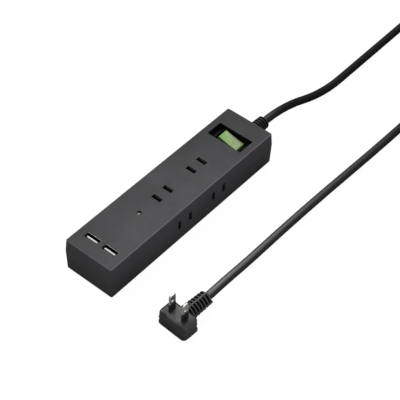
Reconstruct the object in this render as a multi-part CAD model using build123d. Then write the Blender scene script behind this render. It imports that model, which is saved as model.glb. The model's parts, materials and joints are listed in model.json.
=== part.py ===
from build123d import *
import math
import os

# Power strip: two outlets on top, two on the right side, two USB ports, a lit rocker switch,
# and a cord with a right-angle two-blade plug.
# Origin: centre of the case's underside. +X is the side with outlets, +Y the cord end, +Z up.

# ---- case ----
CASE_W = 47.0
CASE_L = 192.0
CASE_H = 31.0
SEAM_Z = 19.3
TOP_INSET = 0.75
BOTTOM_INSET = 0.5
CORNER_R = 1.4
EDGE_R = 0.5
WALL = 2.2
TOP_T = 2.4
FLOOR_T = 2.2
LIP_H = 2.0
LIP_GAP = 0.1
INNER_TOP_Z = CASE_H - TOP_T
HALF_L = CASE_L / 2
HALF_W = CASE_W / 2
SEAM_SIZE = (CASE_W, CASE_L)

# ---- outlets ----
BLADE_PITCH = 12.7
OUTLET_YS = [28.0, -12.4]
LIVE_YS = [y + BLADE_PITCH / 2 for y in OUTLET_YS]
NEUTRAL_YS = [y - BLADE_PITCH / 2 for y in OUTLET_YS]
SLOT_YS = LIVE_YS + NEUTRAL_YS
SLOT_LONG = 7.0
SLOT_WIDE = 1.9
SLOT_LEAD = 1.1
SLOT_LEAD_DEPTH = 0.9
SLOT_GUIDE = 1.2
SLOT_GUIDE_H = 2.2
SIDE_SLOT_Z = 17.4

# ---- indicator and USB ports ----
LED_Y = -39.0
LED_R = 1.5
LED_RING = 0.1
LED_DEPTH = 0.9
USB_Y = -80.7
USB_XS = [-8.85, 8.85]
USB_CUT = (13.5, 6.1)
USB_SHELL = (13.1, 5.7)
USB_SHELL_T = 0.3
USB_SHELL_DEPTH = 0.45
TONGUE_T = 1.3
TONGUE_W = 10.2
TONGUE_SHIFT = -0.45
TONGUE_DEPTH = 1.2
CONTACT_TOPS = {-3.5: 1.9, -1.0: 2.9, 1.0: 2.9, 3.5: 1.9}
BOARD_Z = 14.6
BOARD_T = 1.6
BOARD_TOP = BOARD_Z + BOARD_T
BOARD_SCREWS = [(-15.0, -36.5), (15.0, -36.5)]
BOARD_SIZE = (36.0, 52.0)
BOARD_Y = -59.0
TRANSFORMER_AT = (-7.0, -62.0)

# ---- switch ----
SWITCH_Y = 69.5
WINDOW = (33.6, 16.2)
WELL_DEPTH = 5.0
WELL_Z = CASE_H - WELL_DEPTH
PIVOT_Z = 20.5
ROCKER_TILT = 11.5
ROCKER_W = 12.8
ROCKER_END_R = 12.0
ROCKER_END_H = 6.4
ROCKER_MID_H = 5.9
ROCKER_SKIRT = 1.5
ROCKER_WALL = 1.1
PIN_R = 1.5
RUNNING_GAP = 0.05
TIGHT = 0.02
HOUSING = (29.0, 16.2)
HOUSING_WALL = 1.4
ROCKER_HOLE = (24.7, 13.3)
RIDGE_XS = (12.9, 13.8, 14.7)
RIDGE_W = 0.45
RIDGE_H = 0.44
FLANGE = (36.0, 18.6)
FLANGE_T = 1.2
SKIRT_T = 1.2
HOUSING_Z = 6.5
LEVER_T = 0.8
LEVER_TILT = ROCKER_TILT / 2
PLUNGER_REACH = 8.6
LEVER_TOP = PIVOT_Z - PLUNGER_REACH - RUNNING_GAP
LEVER_UNDER_Z = LEVER_TOP - LEVER_T
LEVER_AXIS_DROP = 0.15
LEVER_AXIS_Z = LEVER_UNDER_Z - LEVER_AXIS_DROP
KNIFE_R = 0.5
LEVER_REACH = 8.0
CONTACT_R = 1.4
CONTACT_H = 0.6
TERMINAL_XS = [-LEVER_REACH, 0.0, 10.0]
TERMINAL_T = 0.8
TERMINAL_W = 5.0
TERMINAL_FOOT_Z = 3.0
PAD_T = 0.8
CONTACT_DROP = LEVER_REACH * math.tan(math.radians(LEVER_TILT))
FIXED_CONTACT_Z = LEVER_UNDER_Z - CONTACT_DROP - CONTACT_H - RUNNING_GAP - 0.15

# ---- screws ----
SCREW_XS = [-17.6, 17.6]
SCREW_YS = [-88.5, 7.8, 88.5]
PILLAR_R = 3.2
BOSS_R = 2.9
PILLAR_TOP = 12.0
HEAD_SEAT_Z = 6.0
SCREW_R = 1.25
SCREW_HEAD_R = 2.6
SCREW_L = 14.0

# ---- busbars ----
RAIL_X = 11.0
RAIL_W = 4.0
RAIL_T = 0.6
RAIL_Z = 11.4
LEAF_T = 0.6
LEAF_GAP = 1.5
LEAF_TOP = 26.0
LEAF_W = 7.2
ARM_END_X = 18.0
CARRIER_T = 2.4
RAIL_REAR_Y = 44.0
RAIL_FRONT_Y = -24.0
CARRIER_W = 28.4
CARRIER_REAR_Y = 42.0
CARRIER_FRONT_Y = -26.0

# ---- wires inside the case ----
WIRE_R = 0.9
WIRE_BEND = 2.0

# ---- cord ----
CORD_R = 3.4
CORE_R = 1.1
CORE_OFFSET = 1.2
CORE_BEND = 2.3
JACKET_BORE_R = 2.45
CORD_Z = 16.0
CORD_INNER_Y = 84.0
CLAMP_Y = 88.0
CLAMP_XS = [-7.5, 7.5]
BOOT_END_Y = 115.0
BOOT_NECK_R = 5.0
BOOT_RIBS = 5
BOOT_CORE = (4.9, 4.4)
BOOT_RIB_R = (6.4, 5.7)
BOOT_BORE_R = CORD_R + RUNNING_GAP
FLOOR_Z = CORD_R
LOOP_Y = 330.0
LOOP_RADII = [60.0, 50.0, 27.2]
LEAVE_X = 8.6
LANDING_Y = 211.0
CROSS_Y = 280.0
CROSS_LIFT = 2 * CORD_R + 0.4
CREST_L = 10.0
RAMP_L = 38.0
PLUG_RISE_L = 55.0
PLUG_TURN_L = 7.5
NEAR_PLUG_X = 78.2

# ---- plug ----
# The plug has its own frame: its origin is on the floor under the blades, +Y runs back along the boot.
PLUG_AT = (77.2, -82.9)
PLUG_YAW = 3.0
PLUG_FRONT_Y = -8.0
PLUG_REAR_Y = 8.7
PLUG_W = 27.8
PLUG_H = 14.2
PLUG_CORD_Z = 7.0
PLUG_BOOT_END_Y = 30.5
PLUG_PIVOT_Y = 19.5
PLUG_SPLIT = 2.0
BLADE_L = 17.0
BLADE_W = 6.3
BLADE_T = 1.5
BLADE_HOLE_R = 1.5
BLADE_HOLE_DROP = 5.8
SLEEVE_L = 8.3
SLEEVE_T = 0.3
BLADE_XS = [-BLADE_PITCH / 2, BLADE_PITCH / 2]
BLADE_CORNER_R = 1.7
BLADE_BEVEL = 0.3
INSERT = (21.0, 6.9, 6.0)
INSERT_Z = 4.6
BODY_DEPTH = PLUG_REAR_Y - PLUG_FRONT_Y
BODY_X = -0.4
BODY_Y = (PLUG_REAR_Y + PLUG_FRONT_Y) / 2
BODY_CORNER_R = 3.4
FACE_INSET = 0.5
GRIP_R = 12.0
GRIP_L = 22.0
GRIP_END_R = 3.0
GRIP_DEPTH = 1.1
GRIP_SHIFT = 6.0
GRIP_Z = 6.2
CHAMBER_W = 19.0
CHAMBER_H = 6.0
CHAMBER_END_Y = 7.0
THROAT_W = 12.0
NECK_R = 5.6
NECK_L = 0.6
PLUG_BOOT_RIBS = 7
PLUG_BOOT_CORE = (5.0, 4.4)
PLUG_BOOT_RIB_R = (6.9, 6.1)
SPINE_AT = 5.3
SPINE_W = 1.6
JACKET_STOP_Y = PLUG_REAR_Y + 0.5
CRIMP_R = 1.45
CRIMP_L = 1.8
CRIMP_X = BLADE_PITCH / 2 - CRIMP_R - 0.45
CRIMP_Y = INSERT[1] / 2 + 0.2 + CRIMP_L / 2

THROUGH = 60.0


# ---- small helpers ----
def block(x, y, z, size_x, size_y, size_z):
    """A box centred on x and y, standing on z."""
    return Pos(x, y, z + size_z / 2) * Box(size_x, size_y, size_z)


def post(x, y, z, radius, height):
    """An upright cylinder standing on z."""
    return Pos(x, y, z + height / 2) * Cylinder(radius, height)


def bar_x(x, y, z, radius, length):
    """A cylinder along X, centred on the point."""
    return Pos(x, y, z) * Rot(0, 90, 0) * Cylinder(radius, length)


def bar_y(x, y, z, radius, length):
    """A cylinder along Y, centred on the point."""
    return Pos(x, y, z) * Rot(90, 0, 0) * Cylinder(radius, length)


def tapered(z_low, size_low, z_high, size_high, radius):
    """A rounded block whose outline changes evenly from one height to another."""
    low = Pos(0, 0, z_low) * RectangleRounded(*size_low, radius)
    high = Pos(0, 0, z_high) * RectangleRounded(*size_high, radius)
    return loft([low, high])


def inset(size, amount):
    return (size[0] - 2 * amount, size[1] - 2 * amount)


def across(path):
    """The plane square to a path's start."""
    return Plane(path @ 0, z_dir=path % 0)


def wire_run(points, radius, bend):
    """A round insulated wire: straight runs between the points, bent at the corners."""
    path = FilletPolyline(*points, radius=bend)
    return sweep(across(path) * Circle(radius), path=path)


def in_plug_place(shape):
    """Moves a shape from the plug's own frame to where the plug lies."""
    return Pos(*PLUG_AT, 0) * Rot(0, 0, -PLUG_YAW) * shape


def plug_point(x, y, z):
    """A point in the plug's own frame, as a point in the strip's frame."""
    return (in_plug_place(Pos(x, y, z))).position


def all_screws():
    return [(x, y) for x in SCREW_XS for y in SCREW_YS]


# ---- case ----
def slot_cutter(length_x):
    """A slot with a flared mouth at z = 0, running along X, open downwards."""
    mouth = Pos(0, 0, RUNNING_GAP) * Rectangle(length_x + 2 * SLOT_LEAD, SLOT_WIDE + 2 * SLOT_LEAD)
    throat = Pos(0, 0, -SLOT_LEAD_DEPTH) * Rectangle(length_x, SLOT_WIDE)
    return loft([mouth, throat]) + Pos(0, 0, -5) * Box(length_x, SLOT_WIDE, 10)


def side_slots():
    """Cutters for the upright slots in the right side."""
    turned = Pos(HALF_W, 0, SIDE_SLOT_Z) * Rot(0, 90, 0) * slot_cutter(SLOT_LONG)
    return [Pos(0, y, 0) * turned for y in SLOT_YS]


def boot_hole(radius):
    return bar_y(0, HALF_L, CORD_Z, radius, 4 * WALL)


def boot_notch(side_gap):
    """The upright part of the cord opening, from the cord's axis to the seam."""
    width = 2 * (BOOT_NECK_R - side_gap)
    return block(0, HALF_L - WALL / 2, CORD_Z, width, WALL, SEAM_Z - CORD_Z)


def top_shell():
    outer = tapered(SEAM_Z, SEAM_SIZE, CASE_H, inset(SEAM_SIZE, TOP_INSET), CORNER_R)
    outer = fillet(outer.faces().sort_by(Axis.Z)[-1].edges(), EDGE_R)
    hollow = inset(SEAM_SIZE, WALL)
    shell = outer - tapered(SEAM_Z, hollow, INNER_TOP_Z, inset(hollow, TOP_INSET), EDGE_R)

    lip_outer = inset(SEAM_SIZE, WALL / 2 + LIP_GAP)
    lip = block(0, 0, SEAM_Z - LIP_H, *lip_outer, LIP_H) - block(0, 0, SEAM_Z - LIP_H, *hollow, LIP_H)
    shell += lip
    shell += boot_notch(LIP_GAP)

    for x, y in all_screws():
        shell += post(x, y, PILLAR_TOP, BOSS_R, INNER_TOP_Z - PILLAR_TOP)
    guide = inset((SLOT_LONG, SLOT_WIDE), -SLOT_GUIDE)
    for y in SLOT_YS:
        shell += block(0, y, INNER_TOP_Z - SLOT_GUIDE_H, *guide, SLOT_GUIDE_H)
    shell += block(0, SWITCH_Y, WELL_Z, *inset(WINDOW, -SKIRT_T), INNER_TOP_Z - WELL_Z)

    shell -= block(0, SWITCH_Y, WELL_Z - 1, *WINDOW, WELL_DEPTH + 2)
    for y in SLOT_YS:
        shell -= Pos(0, y, CASE_H) * slot_cutter(SLOT_LONG)
    for cutter in side_slots():
        shell -= cutter
    for x in USB_XS:
        shell -= block(x, USB_Y, INNER_TOP_Z - 1, *USB_CUT, TOP_T + 2)
    shell -= post(0, LED_Y, INNER_TOP_Z - 1, LED_R + LED_RING, TOP_T + 2)
    for x, y in all_screws():
        shell -= post(x, y, PILLAR_TOP, SCREW_R + RUNNING_GAP, SCREW_L - PILLAR_TOP + HEAD_SEAT_Z + 1)
    shell -= boot_hole(BOOT_NECK_R)
    return shell


def bottom_shell():
    outer = tapered(0, inset(SEAM_SIZE, BOTTOM_INSET), SEAM_Z, SEAM_SIZE, CORNER_R)
    outer = fillet(outer.faces().sort_by(Axis.Z)[0].edges(), EDGE_R)
    hollow = inset(SEAM_SIZE, WALL)
    floor_hollow = inset(hollow, BOTTOM_INSET)
    shell = outer - tapered(FLOOR_T, floor_hollow, SEAM_Z, hollow, EDGE_R)
    rebate = inset(SEAM_SIZE, WALL / 2)
    shell -= block(0, 0, SEAM_Z - LIP_H - LIP_GAP, *rebate, LIP_H + LIP_GAP)

    for x, y in all_screws():
        shell += post(x, y, 1, PILLAR_R, PILLAR_TOP - RUNNING_GAP - 1)
    for x, y in all_screws():
        shell -= post(x, y, -1, SCREW_HEAD_R + 0.3, HEAD_SEAT_Z + 1)
        shell -= post(x, y, 0, SCREW_R + 0.35, PILLAR_TOP)

    # Ribs under the switch, posts under the contact carrier, stand-offs under the USB board.
    for x in (-12.0, 12.0):
        shell += block(x, SWITCH_Y, 1, 1.6, HOUSING[1], HOUSING_Z - RUNNING_GAP - 1)
    for y in (-22.0, 7.8, 38.0):
        shell += block(0, y, 1, 20, 2.0, RAIL_Z - CARRIER_T - RUNNING_GAP - 1)
    for x, y in BOARD_SCREWS:
        shell += post(x, y, 1, 2.6, BOARD_Z - RUNNING_GAP - 1)
        shell -= post(x, y, FLOOR_T + 2, 1.0, BOARD_Z)
    for x in (-14.0, 14.0):
        shell += post(x, -84.0, 1, 1.6, BOARD_Z - RUNNING_GAP - 1)

    # Saddle for the cord clamp, with two screw posts beside the cord.
    shell += block(0, CLAMP_Y, 1, 21, 6, CORD_Z - 1)
    shell -= bar_y(0, CLAMP_Y, CORD_Z, CORD_R + 0.02, 8)
    for x in CLAMP_XS:
        shell -= post(x, CLAMP_Y, FLOOR_T + 2, 1.0, CORD_Z)

    for cutter in side_slots():
        shell -= cutter
    shell -= boot_hole(BOOT_NECK_R)
    shell -= boot_notch(0)
    return shell


def screw(x, y, z, radius, head_radius, head_height, length, tip_up=True):
    """A pan-head screw with a cross recess; z is the plane under its head."""
    sign = 1 if tip_up else -1
    head = Pos(x, y, z - sign * head_height / 2) * Cylinder(head_radius, head_height)
    shank = Pos(x, y, z + sign * length / 2) * Cylinder(radius, length)
    recess_z = z - sign * head_height
    cross = Pos(x, y, recess_z) * (Box(head_radius, 0.6, 1.6) + Box(0.6, head_radius, 1.6))
    return head + shank - cross


def case_screws():
    return Compound([screw(x, y, HEAD_SEAT_Z, SCREW_R, SCREW_HEAD_R, 1.8, SCREW_L) for x, y in all_screws()])


# ---- switch ----
def rocker_outline(end_radius, end_height, mid_height, skirt):
    """Dished cap with ends curved about the pivot, centred on the pivot."""
    low_x = math.sqrt(end_radius**2 - skirt**2)
    high_x = math.sqrt(end_radius**2 - end_height**2)
    dish = ThreePointArc((-high_x, end_height), (0, mid_height), (high_x, end_height))
    right = RadiusArc((high_x, end_height), (low_x, -skirt), end_radius)
    base = Line((low_x, -skirt), (-low_x, -skirt))
    left = RadiusArc((-low_x, -skirt), (-high_x, end_height), end_radius)
    return Curve() + [dish, right, base, left]


def tilted(shape):
    """Turns a switch part from its level place, about the rocker's pivot, to the rest pose."""
    return Pos(0, SWITCH_Y, PIVOT_Z) * Rot(0, ROCKER_TILT, 0) * shape


def switch_rocker():
    outline = make_face(rocker_outline(ROCKER_END_R, ROCKER_END_H, ROCKER_MID_H, ROCKER_SKIRT))
    cap = Rot(90, 0, 0) * extrude(outline, ROCKER_W / 2, both=True)
    cap = fillet(cap.edges().filter_by(GeomType.LINE).group_by(Axis.Z)[-1], 0.5)
    inside = make_face(
        rocker_outline(
            ROCKER_END_R - ROCKER_WALL,
            ROCKER_END_H - ROCKER_WALL,
            ROCKER_MID_H - ROCKER_WALL,
            ROCKER_SKIRT + 0.5,
        )
    )
    cap -= Rot(90, 0, 0) * extrude(inside, ROCKER_W / 2 - ROCKER_WALL, both=True)
    pin_length = HOUSING[1] - ROCKER_W - 0.4
    for side in (-1, 1):
        cap += bar_y(0, side * (ROCKER_W / 2 + pin_length / 4 - 0.3), 0, PIN_R, pin_length / 2 + 0.6)
    stem = post(0, 0, -5.5, 2.7, 5.5 + ROCKER_MID_H - 0.3) - post(0, 0, -6, 1.75, 7.5)
    webs = block(0, 0, -1, 1.0, ROCKER_W - 1, ROCKER_MID_H + 0.5) - post(0, 0, -2, 2.4, 8)
    return tilted(cap + webs + stem)


def plunger():
    body = post(0, 0, -PLUNGER_REACH + 1.2, 1.65, 4.4)
    tip = Pos(0, 0, -PLUNGER_REACH + 1.2) * Sphere(1.2)
    return tilted(body + tip)


def plunger_spring():
    length = 4.0
    path = Helix(pitch=0.9, height=length, radius=1.2)
    coil = sweep(Plane(path @ 0, z_dir=path % 0) * Circle(0.22), path=path)
    return tilted(Pos(0, 0, -2.75) * coil)


def switch_housing():
    """Box open at the top, with a flange that closes the floor of the well round the rocker."""
    flange_z = WELL_Z - RUNNING_GAP - FLANGE_T
    floor_z = HOUSING_Z + HOUSING_WALL
    housing = block(0, SWITCH_Y, flange_z, *FLANGE, FLANGE_T)
    housing += block(0, SWITCH_Y, HOUSING_Z, *HOUSING, flange_z - HOUSING_Z)
    for side in (-1, 1):
        for step in RIDGE_XS:
            ridge_z = WELL_Z - RUNNING_GAP - TIGHT
            housing += block(side * step, SWITCH_Y, ridge_z, RIDGE_W, WINDOW[1] - 0.4, RIDGE_H)
    housing -= block(0, SWITCH_Y, floor_z, *inset(HOUSING, HOUSING_WALL), flange_z - floor_z)
    housing -= block(0, SWITCH_Y, floor_z, *ROCKER_HOLE, CASE_H)
    housing -= bar_y(0, SWITCH_Y, PIVOT_Z, PIN_R + RUNNING_GAP, HOUSING[1] + 2)
    for x in TERMINAL_XS:
        housing -= block(x, SWITCH_Y, HOUSING_Z - 1, TERMINAL_T + 0.1, TERMINAL_W + 0.1, 4)
    return housing


def terminal_load():
    """Fixed contact that the lever's button meets when the switch is on."""
    x = TERMINAL_XS[0]
    pad_z = FIXED_CONTACT_Z - CONTACT_H - PAD_T
    blade = block(x, SWITCH_Y, TERMINAL_FOOT_Z, TERMINAL_T, TERMINAL_W, pad_z + 0.1 - TERMINAL_FOOT_Z)
    pad = block(x, SWITCH_Y, pad_z, 4.0, TERMINAL_W, PAD_T)
    button = post(x, SWITCH_Y, FIXED_CONTACT_Z - CONTACT_H, CONTACT_R, CONTACT_H)
    return blade + pad + button


def terminal_common():
    """Upright blade whose top edge carries the contact lever."""
    height = LEVER_AXIS_Z - TERMINAL_FOOT_Z
    blade = block(TERMINAL_XS[1], SWITCH_Y, TERMINAL_FOOT_Z, TERMINAL_T, TERMINAL_W, height)
    return blade + bar_y(TERMINAL_XS[1], SWITCH_Y, LEVER_AXIS_Z, KNIFE_R, TERMINAL_W)


def terminal_lamp():
    return block(TERMINAL_XS[2], SWITCH_Y, TERMINAL_FOOT_Z, TERMINAL_T, TERMINAL_W, 10.0)


def contact_lever():
    strip = block(0, 0, LEVER_AXIS_DROP, 2 * LEVER_REACH + 3, 4.0, LEVER_T)
    strip -= bar_y(0, 0, 0, KNIFE_R + RUNNING_GAP, TERMINAL_W + 2)
    button = post(-LEVER_REACH, 0, LEVER_AXIS_DROP - CONTACT_H, CONTACT_R, CONTACT_H)
    return Pos(0, SWITCH_Y, LEVER_AXIS_Z) * Rot(0, -LEVER_TILT, 0) * (strip + button)


def neon_lamp():
    """Small glass lamp beside the lever, under the rocker."""
    tube = bar_x(0, 0, 0, 1.4, 8)
    tube = fillet(tube.edges(), 0.9)
    return Pos(2.0, SWITCH_Y + 4.9, 14.6) * tube


def lamp_resistor():
    body = bar_x(0, 0, 0, 1.1, 6)
    body = fillet(body.edges(), 0.4)
    return Pos(2.0, SWITCH_Y - 4.9, 12.5) * body


# ---- conductors ----
def contact_clip(y):
    """Twin spring leaves that take a blade from the top and another from the right side."""
    leaves = None
    arm_high = SIDE_SLOT_Z + LEAF_W / 2
    arm_low = SIDE_SLOT_Z - LEAF_W / 2
    for side in (-1, 1):
        offset = y + side * (LEAF_GAP + LEAF_T) / 2
        tall = block(0, offset, RAIL_Z, LEAF_W, LEAF_T, LEAF_TOP - RAIL_Z)
        arm = block(ARM_END_X / 2, offset, arm_low, ARM_END_X, LEAF_T, arm_high - arm_low)
        leaf = tall + arm
        leaves = leaf if leaves is None else leaves + leaf
    return leaves + block(0, y, RAIL_Z, LEAF_W, LEAF_GAP + 2 * LEAF_T, RAIL_T)


def busbar(ys, side, tab_y, front_y):
    """A rail along the strip with one clip per outlet; side is -1 for left, 1 for right."""
    rear = max(max(ys) + RAIL_W / 2, tab_y)
    front = min(min(ys) - RAIL_W / 2, front_y)
    bar = block(side * RAIL_X, (rear + front) / 2, RAIL_Z, RAIL_W, rear - front, RAIL_T)
    for y in ys:
        bar += block(side * RAIL_X / 2, y, RAIL_Z, RAIL_X, RAIL_W - 0.4, RAIL_T)
        bar += contact_clip(y)
    return bar


def live_busbar():
    return busbar(LIVE_YS, -1, RAIL_REAR_Y, RAIL_FRONT_Y)


def neutral_busbar():
    return busbar(NEUTRAL_YS, 1, RAIL_REAR_Y, RAIL_FRONT_Y)


def contact_carrier():
    """Insulating tray under the busbars, with barrier walls between the poles."""
    middle = (CARRIER_REAR_Y + CARRIER_FRONT_Y) / 2
    length = CARRIER_REAR_Y - CARRIER_FRONT_Y
    tray = block(0, middle, RAIL_Z - CARRIER_T, CARRIER_W, length, CARRIER_T - TIGHT)
    barriers = OUTLET_YS + [(LIVE_YS[1] + NEUTRAL_YS[0]) / 2]
    for y in barriers:
        tray += block(0, y, RAIL_Z - 1, 2 * (RAIL_X - RAIL_W / 2) - 1, 1.4, LEAF_TOP - RAIL_Z - 1)
    return tray


# ---- USB supply ----
def usb_board():
    board = block(0, BOARD_Y, BOARD_Z, *BOARD_SIZE, BOARD_T)
    for x, y in BOARD_SCREWS:
        board -= post(x, y, BOARD_Z - 1, 1.35, BOARD_T + 2)
    return board


def board_screws():
    screws = [screw(x, y, BOARD_TOP + 0.02, 0.95, 2.0, 1.3, 7, tip_up=False) for x, y in BOARD_SCREWS]
    return Compound(screws)


def port_shells():
    shells = []
    height = CASE_H - USB_SHELL_DEPTH - BOARD_TOP
    for x in USB_XS:
        can = block(x, USB_Y, BOARD_TOP + 0.02, *USB_SHELL, height - 0.02)
        can -= block(x, USB_Y, BOARD_TOP + 1, *inset(USB_SHELL, USB_SHELL_T), height)
        shells.append(can)
    return Compound(shells)


def port_tongues():
    """White insulating tongues that stand inside the port shells."""
    foot_z = BOARD_TOP + 1.05
    pieces = []
    for x in USB_XS:
        foot = block(x, USB_Y, foot_z, *inset(USB_SHELL, USB_SHELL_T + 0.05), 2.5)
        height = CASE_H - TONGUE_DEPTH - foot_z
        tongue = block(x, USB_Y + TONGUE_SHIFT, foot_z, TONGUE_W, TONGUE_T, height)
        pieces.append(foot + tongue)
    return Compound(pieces)


def port_contacts():
    """Four flat contacts on each tongue's rear face."""
    rear_face = USB_Y + TONGUE_SHIFT + TONGUE_T / 2 + 0.01
    low = BOARD_TOP + 4
    pieces = []
    for x in USB_XS:
        for step, depth in CONTACT_TOPS.items():
            pieces.append(block(x + step, rear_face + 0.1, low, 1.0, 0.2, CASE_H - depth - low))
    return Compound(pieces)


def transformer_core():
    x, y = TRANSFORMER_AT
    core = block(x, y, BOARD_TOP + 0.8, 12.8, 5.0, 10.2)
    for side in (-1, 1):
        core -= block(x + side * 4.0, y, BOARD_TOP + 2.8, 3.0, 6, 6.2)
    return core


def transformer_winding():
    x, y = TRANSFORMER_AT
    bobbin = block(x, y, BOARD_TOP + 2.85, 10.9, 10.5, 6.1)
    bobbin -= block(x, y, BOARD_TOP + 2, 5.05, 5.05, 8)
    foot = block(x, y, BOARD_TOP + 0.02, 11, 10.5, 0.74)
    for side_y in (-1, 1):
        foot += block(x, y + side_y * 4.3, BOARD_TOP + 0.02, 11, 1.6, 3.5)
    return bobbin + foot


def can_capacitor(x, y, radius, height):
    can = fillet(post(x, y, BOARD_TOP + 0.02, radius, height).edges(), 0.4)
    for turn in (0, 60, 120):
        can -= Pos(x, y, BOARD_TOP + height) * Rot(0, 0, turn) * Box(1.3 * radius, 0.25, 0.5)
    return can


def capacitors():
    places = [(6.0, -66.5, 3.6, 10.5), (13.0, -64.0, 2.6, 9.0), (13.0, -55.0, 2.6, 9.0)]
    return Compound([can_capacitor(*place) for place in places])


def varistor():
    disc = Rot(90, 0, 0) * Cylinder(5.0, 3.6)
    disc = fillet(disc.edges(), 1.2)
    return Pos(-8.0, -44.5, BOARD_TOP + 5.2) * disc


def fuse():
    body = bar_x(4.0, -47.0, BOARD_TOP + 2.3, 2.2, 9.0)
    return fillet(body.edges(), 0.5)


def control_chips():
    chips = [(4.5, -56.0, 5.0, 4.0), (-8.0, -72.8, 6.0, 4.0), (8.0, -73.8, 5.0, 4.0)]
    return Compound([block(x, y, BOARD_TOP + 0.02, sx, sy, 1.6) for x, y, sx, sy in chips])


def indicator_led():
    base = block(0, LED_Y, BOARD_TOP + 0.02, 3.2, 2.8, 0.8)
    lens = Pos(0, LED_Y, BOARD_TOP + 0.8) * Cylinder(1.1, 0.9)
    return base + lens


def light_pipe():
    """Clear rod from the indicator into the top's hole, with a low dome."""
    foot = BOARD_TOP + 1.5
    rod = post(0, LED_Y, foot, LED_R, CASE_H - LED_DEPTH - foot)
    rod = fillet(rod.edges().group_by(Axis.Z)[-1], 0.35)
    collar = post(0, LED_Y, INNER_TOP_Z - 1.25, LED_R + 0.9, 1.2)
    return rod + collar


# ---- wires inside the case ----
def wire_switched():
    """From the switch's load terminal to the live busbar."""
    points = [(-9.5, SWITCH_Y, 4.4), (-9.5, 58, 4.4), (-11, 48, 13.1), (-11, 42.5, 13.1)]
    return wire_run(points, WIRE_R, WIRE_BEND)


def wire_lamp():
    """From the switch's lamp terminal to the neutral busbar."""
    points = [(8.6, SWITCH_Y, 4.4), (8.6, 58, 4.4), (9.85, 48, 13.1), (9.85, 42.5, 13.1)]
    return wire_run(points, WIRE_R, WIRE_BEND)


def usb_leads():
    """Supply leads from the front ends of the busbars to the board."""
    leads = []
    for side in (-1, 1):
        rail_end = [(side * 11, -21, 13.1), (side * 11, -27.5, 13.1)]
        board_end = [(side * 5.5, -32, 17.3), (side * 5, -38, 17.3)]
        leads.append(wire_run(rail_end + board_end, WIRE_R, WIRE_BEND))
    return Compound(leads)


# ---- cord ----
def cord_clamp():
    strap = block(0, CLAMP_Y, CORD_Z + 0.6, 20, 5, 4.2) - bar_y(0, CLAMP_Y, CORD_Z, CORD_R + 0.02, 8)
    for x in CLAMP_XS:
        strap -= post(x, CLAMP_Y, CORD_Z, 1.35, 8)
    return strap


def clamp_screws():
    seat = CORD_Z + 4.82
    return Compound([screw(x, CLAMP_Y, seat, 0.95, 2.0, 1.3, 14, tip_up=False) for x in CLAMP_XS])


def ribbed_boot(length, root_r, tip_r, ribs, rib_r, tip_rib_r):
    """A tapering sleeve along +Y from the origin, with evenly spaced collars and a bore."""
    core = Rot(-90, 0, 0) * Cone(root_r, tip_r, length, align=(Align.CENTER, Align.CENTER, Align.MIN))
    pitch = length / ribs
    for index in range(ribs):
        share = index / (ribs - 1)
        radius = rib_r + (tip_rib_r - rib_r) * share
        collar = bar_y(0, pitch * (index + 0.5), 0, radius, pitch * 0.45)
        core += fillet(collar.edges(), 0.3)
    return core - bar_y(0, length / 2, 0, BOOT_BORE_R, 2 * length)


def cord_boot():
    """Strain relief held between the two case halves."""
    outside = ribbed_boot(BOOT_END_Y - HALF_L - 0.2, *BOOT_CORE, BOOT_RIBS, *BOOT_RIB_R)
    outside = Pos(0, HALF_L + 0.2, CORD_Z) * outside
    neck = bar_y(0, HALF_L - WALL / 2 - 0.5, CORD_Z, BOOT_NECK_R - RUNNING_GAP, WALL + 2.2)
    flange = bar_y(0, HALF_L - WALL - 1.2, CORD_Z, 5.8, 1.6)
    bore = bar_y(0, HALF_L, CORD_Z, BOOT_BORE_R, 12)
    return outside + (neck + flange - bore)


def s_bend(start, end, heading):
    """Two equal tangent arcs between parallel straight runs that head along +Y or -Y."""
    start = Vector(*start)
    middle = (start + Vector(*end)) * 0.5
    first = TangentArc(start, middle, tangent=(0, heading, 0))
    return [first, TangentArc(middle, Vector(*end), tangent=first % 1)]


def cord_route():
    """Stretches of the cord's centre line: case, descent, loose coil, return and plug end."""
    low = FLOOR_Z
    leave = (0, BOOT_END_Y, CORD_Z)
    landed = (LEAVE_X, LANDING_Y, low)
    route = [Line((0, CORD_INNER_Y, CORD_Z), leave)] + s_bend(leave, landed, 1)
    route.append(Line(landed, (LEAVE_X, LOOP_Y, low)))

    x = LEAVE_X
    for turn, radius in enumerate(LOOP_RADII):
        side = 1 if turn % 2 == 0 else -1
        crown = (x + side * radius, LOOP_Y + side * radius, low)
        far_x = x + side * 2 * radius
        route.append(ThreePointArc((x, LOOP_Y, low), crown, (far_x, LOOP_Y, low)))
        x = far_x

    crest_z = low + CROSS_LIFT
    crest = [(x, CROSS_Y + CREST_L / 2, crest_z), (x, CROSS_Y - CREST_L / 2, crest_z)]
    climb_from = (x, crest[0][1] + RAMP_L, low)
    drop_to = (x, crest[1][1] - RAMP_L, low)
    route.append(Line((x, LOOP_Y, low), climb_from))
    route += s_bend(climb_from, crest[0], -1) + [Line(*crest)] + s_bend(crest[1], drop_to, -1)

    enter = plug_point(0, PLUG_BOOT_END_Y, PLUG_CORD_Z)
    half_yaw = math.radians(PLUG_YAW / 2)
    turn_from = enter + Vector(math.sin(half_yaw), math.cos(half_yaw), 0) * PLUG_TURN_L
    near_plug = (NEAR_PLUG_X, turn_from.Y + PLUG_RISE_L, low)
    route += s_bend(drop_to, near_plug, -1) + s_bend(near_plug, tuple(turn_from), -1)
    route.append(TangentArc(turn_from, enter, tangent=(0, -1, 0)))
    route.append(Line(enter, plug_point(0, PLUG_PIVOT_Y + PLUG_SPLIT, PLUG_CORD_Z)))
    return route


def cord_jacket():
    path = Wire(cord_route())
    return sweep(across(path) * Circle(CORD_R), path=path)


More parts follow.
